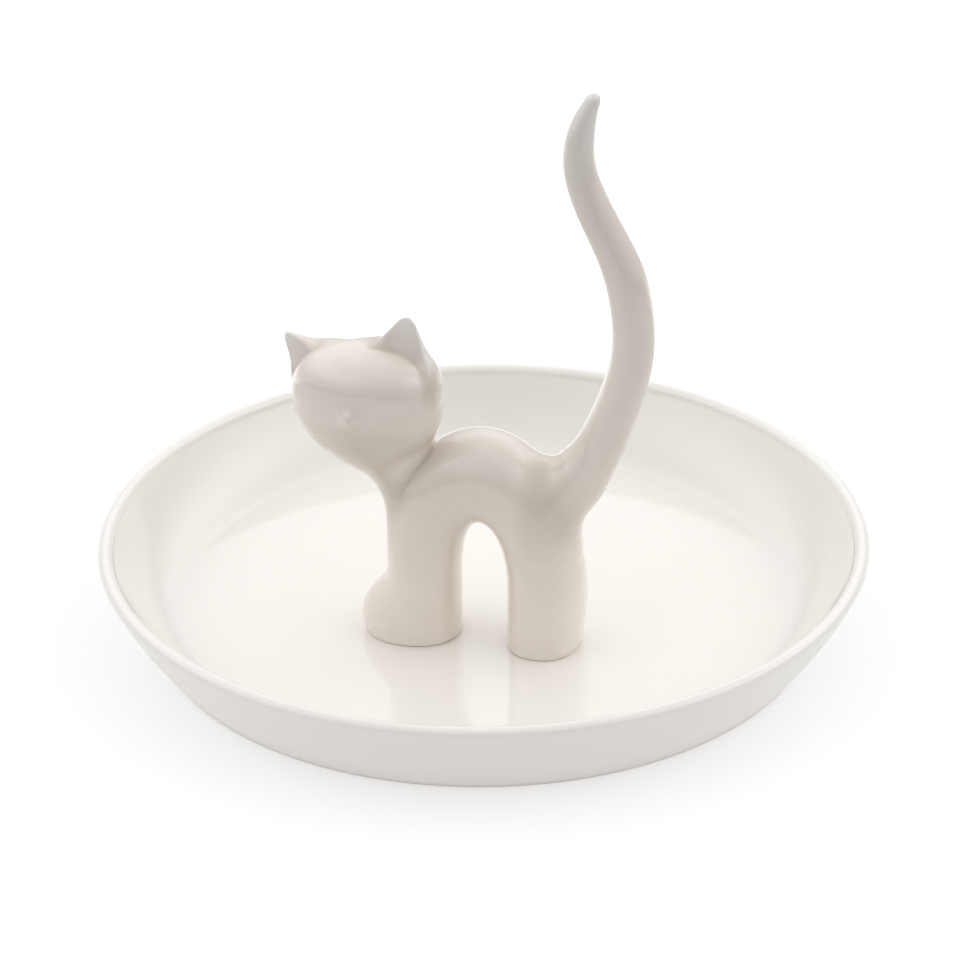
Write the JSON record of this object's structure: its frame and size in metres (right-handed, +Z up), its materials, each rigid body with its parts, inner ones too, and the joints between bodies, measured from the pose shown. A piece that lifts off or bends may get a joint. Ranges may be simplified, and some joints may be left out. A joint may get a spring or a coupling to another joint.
{
  "type": "jewelry holder",
  "caption": "Round white porcelain dish for jewelry, with a low flared wall and a standing cat on its floor whose raised, S-shaped tail holds rings.",
  "frame": {"origin": "on the table under the dish's axis, in the plane of the foot ring", "axes": "+Z up along the dish's axis; the cat walks along -X and looks toward -Y, which is the side that the picture shows"},
  "size_m": [0.14, 0.14, 0.1115],
  "materials": {
    "glazed_porcelain": "glossy warm white glaze"
  },
  "bodies": {
    "root": {"dish": "glazed_porcelain", "cat_body": "glazed_porcelain", "cat_head": "glazed_porcelain", "ear_left": "glazed_porcelain", "ear_right": "glazed_porcelain", "tail": "glazed_porcelain"}
  },
  "joints": []
}
